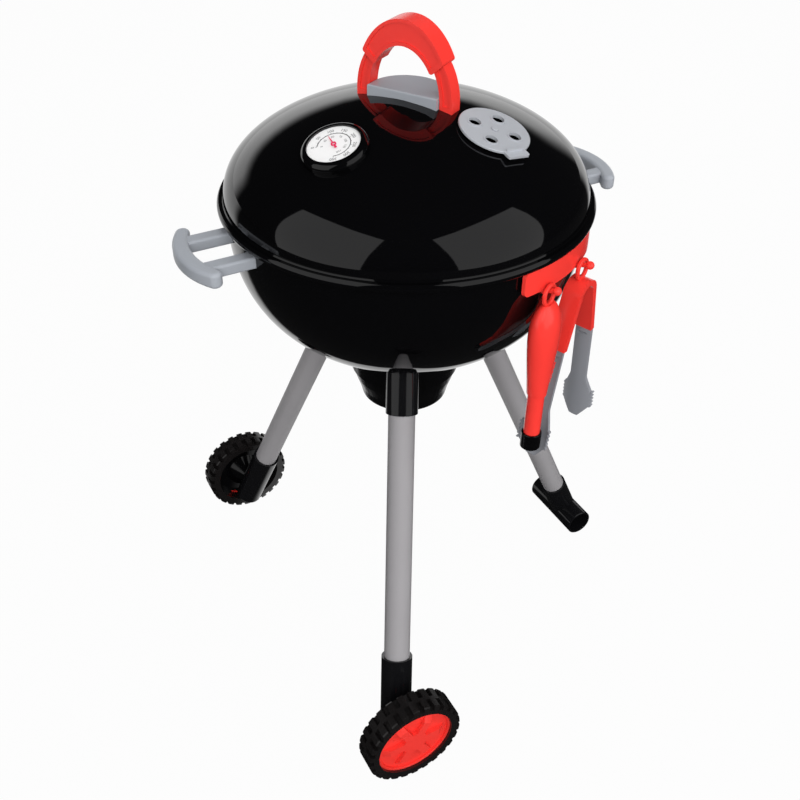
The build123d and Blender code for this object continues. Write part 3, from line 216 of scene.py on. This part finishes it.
def new_finish(name):
    material = bpy.data.materials.new(name)
    material.use_nodes = True
    return material, Bench(material.node_tree)


def moulded(
    name, colour, roughness, spread=0.06, grain=0.0012, depth=0.05, tone=0.1, metallic=0.0
):
    """Moulded plastic or paint.

    Slow noise moves the roughness by the spread and the colour by the tone, and
    noise with cells of the grain's size gives the relief its depth."""
    material, bench = new_finish(name)
    place = bench.node("ShaderNodeTexCoord", output=3)
    drift = bench.node(
        "ShaderNodeTexNoise", {}, {"Vector": place, "Scale": PLASTIC_DRIFT, "Detail": 3.0}
    )
    fine = bench.node("ShaderNodeTexNoise", {}, {"Vector": place, "Scale": 1 / grain, "Detail": 2.0})
    relief = bench.node(
        "ShaderNodeBump", {}, {"Height": fine, "Strength": depth, "Distance": RELIEF_HEIGHT}
    )
    shade = bench.node(
        "ShaderNodeMix",
        {"data_type": "RGBA", "blend_type": "MULTIPLY"},
        {0: tone, 6: (*colour, 1), 7: drift},
        output=2,
    )
    skin = bench.node(
        "ShaderNodeBsdfPrincipled",
        {},
        {
            "Base Color": shade,
            "Roughness": (drift - 0.5) * spread + roughness,
            "Metallic": metallic,
            "Normal": relief,
        },
    )
    bench.node("ShaderNodeOutputMaterial", {}, {"Surface": skin})
    return material


def polished(name, colour, roughness, gloss):
    """Smooth glossy plastic with hardly any wander in its polish; gloss is its specular level."""
    material, bench = new_finish(name)
    place = bench.node("ShaderNodeTexCoord", output=3)
    drift = bench.node("ShaderNodeTexNoise", {}, {"Vector": place, "Scale": POLISH_DRIFT, "Detail": 2.0})
    skin = bench.node(
        "ShaderNodeBsdfPrincipled",
        {},
        {
            "Base Color": (*colour, 1),
            "Roughness": (drift - 0.5) * 0.03 + roughness,
            "Specular IOR Level": gloss,
        },
    )
    bench.node("ShaderNodeOutputMaterial", {}, {"Surface": skin})
    return material


def printed(name, colour):
    """Flat ink: one colour, hardly any gloss."""
    material, bench = new_finish(name)
    skin = bench.node("ShaderNodeBsdfPrincipled", {}, {"Base Color": (*colour, 1), "Roughness": 0.5})
    bench.node("ShaderNodeOutputMaterial", {}, {"Surface": skin})
    return material


def plated(name, colour, roughness):
    """Plated steel whose roughness wanders with a fine noise."""
    material, bench = new_finish(name)
    place = bench.node("ShaderNodeTexCoord", output=3)
    drift = bench.node("ShaderNodeTexNoise", {}, {"Vector": place, "Scale": STEEL_DRIFT, "Detail": 3.0})
    skin = bench.node(
        "ShaderNodeBsdfPrincipled",
        {},
        {
            "Base Color": (*colour, 1),
            "Metallic": 1.0,
            "Roughness": (drift - 0.5) * 0.2 + roughness,
        },
    )
    bench.node("ShaderNodeOutputMaterial", {}, {"Surface": skin})
    return material


def dress(material, *nodes):
    """Gives the construction's own pieces a finish."""
    for node in nodes:
        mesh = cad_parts[node].data
        mesh.materials.clear()
        mesh.materials.append(material)


def joined(name, patches):
    """One mesh of several (points, faces) patches.

    A patch's faces count from its own first point."""
    points = []
    faces = []
    offset = 0
    for some_points, some_faces in patches:
        points.append(np.asarray(some_points, float))
        faces += (np.asarray(some_faces) + offset).tolist()
        offset += len(some_points)
    mesh = bpy.data.meshes.new(name)
    mesh.from_pydata(np.vstack(points), [], faces)
    return mesh


def grid(points, wrap=False):
    """Patch of quads over an (u, v) grid of points, with u closed on itself where asked."""
    rows, columns = points.shape[:2]
    index = np.arange(rows * columns).reshape(rows, columns)
    if wrap:
        index = np.vstack([index, index[:1]])
    quads = np.stack([index[:-1, :-1], index[1:, :-1], index[1:, 1:], index[:-1, 1:]], axis=-1)
    return points.reshape(-1, 3), quads.reshape(-1, 4)


def piece(name, mesh, material, body, sharp=35.0):
    """Links a finished mesh at the origin and lets it ride on a body of the construction.

    Faces are smooth up to the sharp angle, in degrees."""
    mesh.materials.append(material)
    mesh.polygons.foreach_set("use_smooth", np.ones(len(mesh.polygons), bool))
    mesh.set_sharp_from_angle(angle=math.radians(sharp))
    thing = bpy.data.objects.new(name, mesh)
    bpy.context.scene.collection.objects.link(thing)
    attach(thing, body)
    return thing


class BarbecueColours(bpy.types.PropertyGroup):
    red: bpy.props.FloatVectorProperty(
        name="Red plastic",
        description="Colour of the grips, rack and hubs",
        default=(0.86, 0.042, 0.032),
        subtype="COLOR",
    )
    black: bpy.props.FloatVectorProperty(
        name="Black",
        description="Colour of the kettle",
        default=(0.0014, 0.0014, 0.0017),
        subtype="COLOR",
    )
    grey: bpy.props.FloatVectorProperty(
        name="Grey plastic",
        description="Colour of the side handles, shield and jaws",
        default=(0.34, 0.36, 0.395),
        subtype="COLOR",
    )
    tube: bpy.props.FloatVectorProperty(
        name="Leg tubes",
        description="Colour of the legs' tubes",
        default=(0.30, 0.29, 0.30),
        subtype="COLOR",
    )
    needle: bpy.props.FloatVectorProperty(
        name="Needle",
        description="Colour of the thermometer's needle",
        default=(0.72, 0.005, 0.09),
        subtype="COLOR",
    )


class BarbecueDial(bpy.types.PropertyGroup):
    arc_radius: bpy.props.FloatProperty(
        name="Scale radius",
        description="Radius of the scale's line on the dial",
        default=0.014,
        unit="LENGTH",
    )
    figure_height: bpy.props.FloatProperty(
        name="Figure height",
        description="Height of the large figures",
        default=0.0028,
        unit="LENGTH",
    )
    reading: bpy.props.FloatProperty(
        name="Needle angle",
        description="Where the needle points, counted from the dial's right",
        default=math.radians(152),
        subtype="ANGLE",
    )
    needle_length: bpy.props.FloatProperty(
        name="Needle length",
        description="From the hub to the needle's tip",
        default=0.0118,
        unit="LENGTH",
    )


class BARBECUE_OT_kettle(bpy.types.Operator):
    """Finishes the bowl, the lid, the bezel and the ash catcher"""

    bl_idname = "barbecue.kettle"
    bl_label = "Kettle"

    def execute(self, context):
        colours = context.scene.barbecue_colours
        gloss = polished("gloss_black", colours.black, roughness=0.045, gloss=0.5)
        dress(gloss, "lid", "bowl", "thermometer_bezel")
        satin = moulded("satin_black", colours.black, roughness=0.2, grain=0.0009, depth=0.04)
        dress(satin, "ash_ring", "ash_cup")
        cast = moulded("grate_black", GRATE_BLACK, roughness=0.42, grain=0.001, depth=0.1)
        dress(cast, "cooking_grate")
        return {"FINISHED"}


class BARBECUE_OT_legs(bpy.types.Operator):
    """Finishes the leg tubes, their sockets and sleeves, the foot and the screws"""

    bl_idname = "barbecue.legs"
    bl_label = "Legs"

    def execute(self, context):
        colours = context.scene.barbecue_colours
        paint = moulded("tube_grey", colours.tube, roughness=0.5, grain=0.0006, depth=0.08)
        dress(paint, "leg_tube_front", "leg_tube_rear", "leg_tube_foot")
        black = moulded("leg_black", LEG_BLACK, roughness=0.13, grain=0.0009, depth=0.03)
        dress(black, "leg_socket_front", "leg_socket_rear", "leg_socket_foot")
        dress(black, "wheel_sleeve_front", "wheel_sleeve_rear", "foot_tee")
        steel = plated("screw_steel", STEEL, roughness=0.35)
        dress(steel, "leg_screws", "handle_screws", "lid_handle_screws")
        dress(steel, "axle_front", "axle_rear", "push_nut_front", "push_nut_rear")
        return {"FINISHED"}


class BARBECUE_OT_wheels(bpy.types.Operator):
    """Finishes the tyres, the hubs and the discs behind them"""

    bl_idname = "barbecue.wheels"
    bl_label = "Wheels"

    def execute(self, context):
        colours = context.scene.barbecue_colours
        tyre = moulded("tyre_black", TYRE_BLACK, roughness=0.24, depth=0.08)
        dress(tyre, "tyre_front", "tyre_rear")
        dress(moulded("hub_red", colours.red, roughness=0.28), "hub_front", "hub_rear")
        disc = moulded("disc_black", colours.black, roughness=0.12, depth=0.03)
        dress(disc, "wheel_disc_front", "wheel_disc_rear")
        return {"FINISHED"}


class BARBECUE_OT_handles(bpy.types.Operator):
    """Finishes the side handles, the lid handle, its shield and the vent"""

    bl_idname = "barbecue.handles"
    bl_label = "Handles and vent"

    def execute(self, context):
        colours = context.scene.barbecue_colours
        grey = moulded("grey_plastic", colours.grey, roughness=0.36, depth=0.06)
        dress(grey, "side_handle_left", "side_handle_right")
        dress(moulded("shield_grey", colours.grey, roughness=0.2, depth=0.02), "heat_shield")
        silver = moulded("vent_silver", VENT_SILVER, roughness=0.34, metallic=0.3)
        dress(silver, "vent_disc", "vent_rivet")
        dress(moulded("handle_red", colours.red, roughness=0.26), "lid_handle")
        return {"FINISHED"}


class BARBECUE_OT_tools(bpy.types.Operator):
    """Finishes the rack, the lighter and the tongs"""

    bl_idname = "barbecue.tools"
    bl_label = "Rack and tools"

    def execute(self, context):
        colours = context.scene.barbecue_colours
        red = moulded("tool_red", colours.red, roughness=0.2, depth=0.03)
        dress(red, "tool_rack", "tongs_handle")
        dress(red, "lighter_grip", "lighter_barrel", "lighter_trigger")
        dress(moulded("tip_black", colours.black, roughness=0.2), "lighter_tip")
        silver = moulded("jaw_silver", JAW_SILVER, roughness=0.34, metallic=0.2)
        dress(silver, "tongs_jaw_left", "tongs_jaw_right")
        return {"FINISHED"}


def dial_place():
    """Middle of the dial's face, with its directions across, up the slope and out of the face.

    The dial is a thin disc, so the direction in which its points spread least is its normal."""
    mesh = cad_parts["thermometer_dial"].data
    points = np.empty(len(mesh.vertices) * 3)
    mesh.vertices.foreach_get("co", points)
    points = points.reshape(-1, 3)
    normal = np.linalg.svd(points - points.mean(0), full_matrices=False)[2][2]
    normal = normal * np.sign(normal[2])
    inward = (AXIS - points.mean(0)) * np.array([1, 1, 0])
    slope = inward - inward.dot(normal) * normal
    slope = slope / np.linalg.norm(slope)
    across = np.cross(slope, normal)
    spread = points @ np.stack([across, slope, normal]).T
    middle = (spread.min(0) + spread.max(0)) / 2
    middle[2] = spread[:, 2].max()
    return middle @ np.stack([across, slope, normal]), across, slope, normal


def figure(text, height, radius, angle):
    """Flat triangles of a figure whose top points outwards, centred at a radius and an angle."""
    curve = bpy.data.curves.new("figure", "FONT")
    curve.body = text
    curve.size = height / CAP_HEIGHT_SHARE
    curve.align_x = "CENTER"
    curve.align_y = "CENTER"
    shape = bpy.data.objects.new("figure", curve)
    mesh = shape.to_mesh()
    points = np.empty(len(mesh.vertices) * 3)
    mesh.vertices.foreach_get("co", points)
    mesh.calc_loop_triangles()
    triangles = np.empty(len(mesh.loop_triangles) * 3, int)
    mesh.loop_triangles.foreach_get("vertices", triangles)
    shape.to_mesh_clear()
    bpy.data.objects.remove(shape)
    bpy.data.curves.remove(curve)
    along, outward = points.reshape(-1, 3)[:, :2].T
    reach = radius + outward
    flat = np.stack(
        [
            reach * math.cos(angle) + along * math.sin(angle),
            reach * math.sin(angle) - along * math.cos(angle),
            np.zeros_like(along),
        ],
        axis=-1,
    )
    return flat, triangles.reshape(-1, 3)


def bow(radius, width, start, stop, steps=96):
    """Flat band: (r cos t, r sin t), with t from start to stop.

    r goes from the radius less half the width to the radius plus half the width."""
    angle = np.linspace(start, stop, steps)
    reach = np.array([radius - width / 2, radius + width / 2])
    flat = np.stack(
        [
            np.cos(angle)[:, None] * reach,
            np.sin(angle)[:, None] * reach,
            np.zeros((steps, 2)),
        ],
        axis=-1,
    )
    return grid(flat)


def tick(radius, length, width, angle):
    """Flat bar from the radius outwards at an angle."""
    half = width / 2
    out = np.array([math.cos(angle), math.sin(angle), 0])
    side = np.array([-out[1], out[0], 0])
    ends = np.array([radius, radius + length])
    flat = out * ends[:, None, None] + side * np.array([-half, half])[None, :, None]
    return grid(flat)


def prism(outline, low, high):
    """Points, side quads and cap triangles of a prism over a convex outline of (x, y) points.

    The outline runs counter-clockwise, and each cap is a fan from its first point."""
    outline = np.asarray(outline, float)
    count = len(outline)
    floor = np.column_stack([outline, np.full(count, low)])
    roof = np.column_stack([outline, np.full(count, high)])
    here = np.arange(count)
    after = np.roll(here, -1)
    sides = np.stack([here, after, after + count, here + count], axis=-1)
    fan = np.stack([np.zeros(count - 2, int), here[1:-1], here[2:]], axis=-1)
    return np.vstack([floor, roof]), sides, np.vstack([fan[:, ::-1], fan + count])


def ring(radius, thickness, low, high, steps=48):
    """Closed ring of square section, turned round the hub.

    Its four corners are the radius and the radius less the thickness, at low and at high."""
    angle = np.linspace(0, TURN, steps, endpoint=False)
    inner = radius - thickness
    corners = np.array([[radius, low], [radius, high], [inner, high], [inner, low], [radius, low]])
    flat = np.stack(
        [
            np.cos(angle)[:, None] * corners[:, 0],
            np.sin(angle)[:, None] * corners[:, 0],
            np.ones((steps, 1)) * corners[:, 1],
        ],
        axis=-1,
    )
    return grid(flat, wrap=True)


class BARBECUE_OT_dial(bpy.types.Operator):
    """Prints the thermometer's scale and figures and sets its needle on the dial"""

    bl_idname = "barbecue.dial"
    bl_label = "Thermometer dial"

    def execute(self, context):
        sizes = context.scene.barbecue_dial
        middle, across, slope, normal = dial_place()
        axes = np.stack([across, slope, normal])
        dress(printed("dial_white", DIAL_WHITE), "thermometer_dial")

        def on_dial(patches, lift):
            return [(middle + normal * lift + points @ axes, faces) for points, faces in patches]

        arc = sizes.arc_radius
        height = sizes.figure_height
        marks = [bow(arc, SCALE_LINE, SCALE_END, SCALE_START)]
        large = np.linspace(SCALE_START, SCALE_END, LARGE_COUNT)
        between = np.linspace(SCALE_START, SCALE_END, 2 * LARGE_COUNT - 1)[1::2]
        small = np.linspace(SCALE_START, SCALE_END, SMALL_COUNT)
        for angles, stroke in ((large, LARGE_TICK), (between, MIDDLE_TICK), (small, SMALL_TICK)):
            marks += [tick(arc, *stroke, angle) for angle in angles]
        for index, angle in enumerate(large):
            marks.append(figure(str(index * LARGE_VALUE_STEP), height, arc + LARGE_OUTSET, angle))
        inner = np.radians(INNER_START - INNER_PITCH * np.arange(INNER_COUNT))
        inner_height = height * INNER_HEIGHT_SHARE
        for index, angle in enumerate(inner):
            marks.append(
                figure(str(index * INNER_VALUE_STEP), inner_height, arc - INNER_INSET, angle)
            )
        scale = joined("dial_scale", on_dial(marks, INK_LIFT))
        piece("dial_scale", scale, printed("dial_ink", DIAL_INK), "lid")

        cosine = math.cos(sizes.reading)
        sine = math.sin(sizes.reading)
        turn = np.array([[cosine, sine], [-sine, cosine]])
        tip = sizes.needle_length
        blade = np.array(
            [
                [NEEDLE_ROOT, -NEEDLE_ROOT_HALF],
                [tip, -NEEDLE_TIP_HALF],
                [tip, NEEDLE_TIP_HALF],
                [NEEDLE_ROOT, NEEDLE_ROOT_HALF],
            ]
        )
        tail = np.array(
            [
                [-TAIL_REACH, -TAIL_HALF],
                [-NEEDLE_ROOT, -TAIL_NECK_HALF],
                [-NEEDLE_ROOT, TAIL_NECK_HALF],
                [-TAIL_REACH, TAIL_HALF],
            ]
        )
        patches = []
        for outline in (blade, tail):
            points, sides, caps = prism(outline @ turn, 0, NEEDLE_THICKNESS)
            patches += [(points, sides), (points, caps)]
        patches.append(ring(HUB_RADIUS, HUB_BAND, 0, HUB_THICKNESS))
        needle = joined("dial_needle", on_dial(patches, NEEDLE_LIFT))
        ink = printed("needle_red", context.scene.barbecue_colours.needle)
        piece("dial_needle", needle, ink, "lid")
        return {"FINISHED"}


def placed(right, up, back, place):
    """Matrix of a thing whose own x, y and z axes are right, up and back, at a place."""
    matrix = np.eye(4)
    matrix[:3] = np.stack([right, up, back, place], axis=-1)
    return Matrix(matrix.tolist())


def add_lamp(name, place, size, power, glossy):
    """Soft rectangular lamp that looks at the kettle's middle; power in watts.

    Its own -z axis is the direction to the kettle, and its y axis leans on the upright."""
    data = bpy.data.lights.new(name, "AREA")
    data.shape = "RECTANGLE"
    data.size, data.size_y = size
    data.energy = power
    lamp = bpy.data.objects.new(name, data)
    bpy.context.scene.collection.objects.link(lamp)
    back = np.array(place, float) - KETTLE_MIDDLE
    back = back / np.linalg.norm(back)
    right = np.cross(UP, back)
    right = right / np.linalg.norm(right)
    lamp.matrix_world = placed(right, np.cross(back, right), back, place)
    lamp.visible_glossy = glossy
    lamp.visible_camera = False


class BARBECUE_OT_studio(bpy.types.Operator):
    """Builds the pale floor, the soft lamps, the world and the camera"""

    bl_idname = "barbecue.studio"
    bl_label = "Studio"

    def execute(self, context):
        material, bench = new_finish("pale_floor")
        place = bench.node("ShaderNodeTexCoord", output=3)
        heading = bench.node("ShaderNodeVectorMath", {"operation": "NORMALIZE"}, {0: place})
        direct = bench.path("Is Camera Ray").maximum(bench.path("Is Transmission Ray"))
        mirrored = bench.path("Is Glossy Ray")
        sides = bench.along(heading, REAR).ramp(*FLOOR_SIDES)
        level = direct.maximum(mirrored * sides * FLOOR_LEVEL + FLOOR_DARK_LEVEL)
        grey = (FLOOR_GREY, FLOOR_GREY, FLOOR_GREY, 1)
        matt = bench.node("ShaderNodeBsdfDiffuse", {}, {"Color": grey})
        glow = bench.node("ShaderNodeEmission", {}, {"Color": (1, 1, 1, 1), "Strength": level})
        cover = bench.node(
            "ShaderNodeMixShader",
            {},
            {0: direct.maximum(mirrored) * FLOOR_COVER, 1: matt, 2: glow},
        )
        bench.node("ShaderNodeOutputMaterial", {}, {"Surface": cover})
        half = FLOOR_HALF_WIDTH
        corners = np.array(
            [[[-half, -half, 0], [-half, half, 0]], [[half, -half, 0], [half, half, 0]]]
        )
        mesh = joined("floor", [grid(corners)])
        mesh.materials.append(material)
        floor = bpy.data.objects.new("floor", mesh)
        context.scene.collection.objects.link(floor)

        world = bpy.data.worlds.new("studio_air")
        context.scene.world = world
        world.use_nodes = True
        air = Bench(world.node_tree)
        towards = air.node("ShaderNodeTexCoord", output=0)
        sides = air.along(towards, REAR).ramp(*BACKDROP_SIDES)
        top = air.along(towards, UP).ramp(*BACKDROP_TOP)
        level = (sides * top * BACKDROP_LEVEL + ROOM_LEVEL).maximum(air.path("Is Camera Ray"))
        sky = air.node("ShaderNodeBackground", {}, {"Color": (1, 1, 1, 1), "Strength": level})
        air.node("ShaderNodeOutputWorld", {}, {"Surface": sky})

        for lamp in LAMPS:
            add_lamp(*lamp)

        data = bpy.data.cameras.new("photo_camera")
        data.sensor_width = SENSOR_WIDTH
        data.lens = FOCAL_PIXELS * SENSOR_WIDTH / PHOTO_PIXELS
        camera = bpy.data.objects.new("photo_camera", data)
        context.scene.collection.objects.link(camera)
        context.scene.camera = camera
        camera.matrix_world = placed(CAMERA_RIGHT, CAMERA_UP, CAMERA_BACK, CAMERA_PLACE)
        context.scene.view_settings.view_transform = "Standard"
        return {"FINISHED"}


STEPS = (
    BARBECUE_OT_kettle,
    BARBECUE_OT_legs,
    BARBECUE_OT_wheels,
    BARBECUE_OT_handles,
    BARBECUE_OT_tools,
    BARBECUE_OT_dial,
    BARBECUE_OT_studio,
)


class BARBECUE_PT_panel(bpy.types.Panel):
    """Lists the steps that dress the barbecue"""

    bl_idname = "BARBECUE_PT_panel"
    bl_label = "Barbecue"
    bl_space_type = "VIEW_3D"
    bl_region_type = "UI"
    bl_category = "Barbecue"

    def draw(self, context):
        for step in STEPS:
            self.layout.operator(step.bl_idname)
        for name in ("red", "black", "grey", "tube", "needle"):
            self.layout.prop(context.scene.barbecue_colours, name)
        for name in ("arc_radius", "figure_height", "reading", "needle_length"):
            self.layout.prop(context.scene.barbecue_dial, name)


CLASSES = (BarbecueColours, BarbecueDial, *STEPS, BARBECUE_PT_panel)


def register():
    for part in CLASSES:
        bpy.utils.register_class(part)
    bpy.types.Scene.barbecue_colours = bpy.props.PointerProperty(type=BarbecueColours)
    bpy.types.Scene.barbecue_dial = bpy.props.PointerProperty(type=BarbecueDial)


def unregister():
    del bpy.types.Scene.barbecue_dial
    del bpy.types.Scene.barbecue_colours
    for part in reversed(CLASSES):
        bpy.utils.unregister_class(part)


def main():
    register()
    bpy.ops.barbecue.kettle()
    bpy.ops.barbecue.legs()
    bpy.ops.barbecue.wheels()
    bpy.ops.barbecue.handles()
    bpy.ops.barbecue.tools()
    bpy.ops.barbecue.dial()
    bpy.ops.barbecue.studio()


if __name__ == "__main__":
    main()
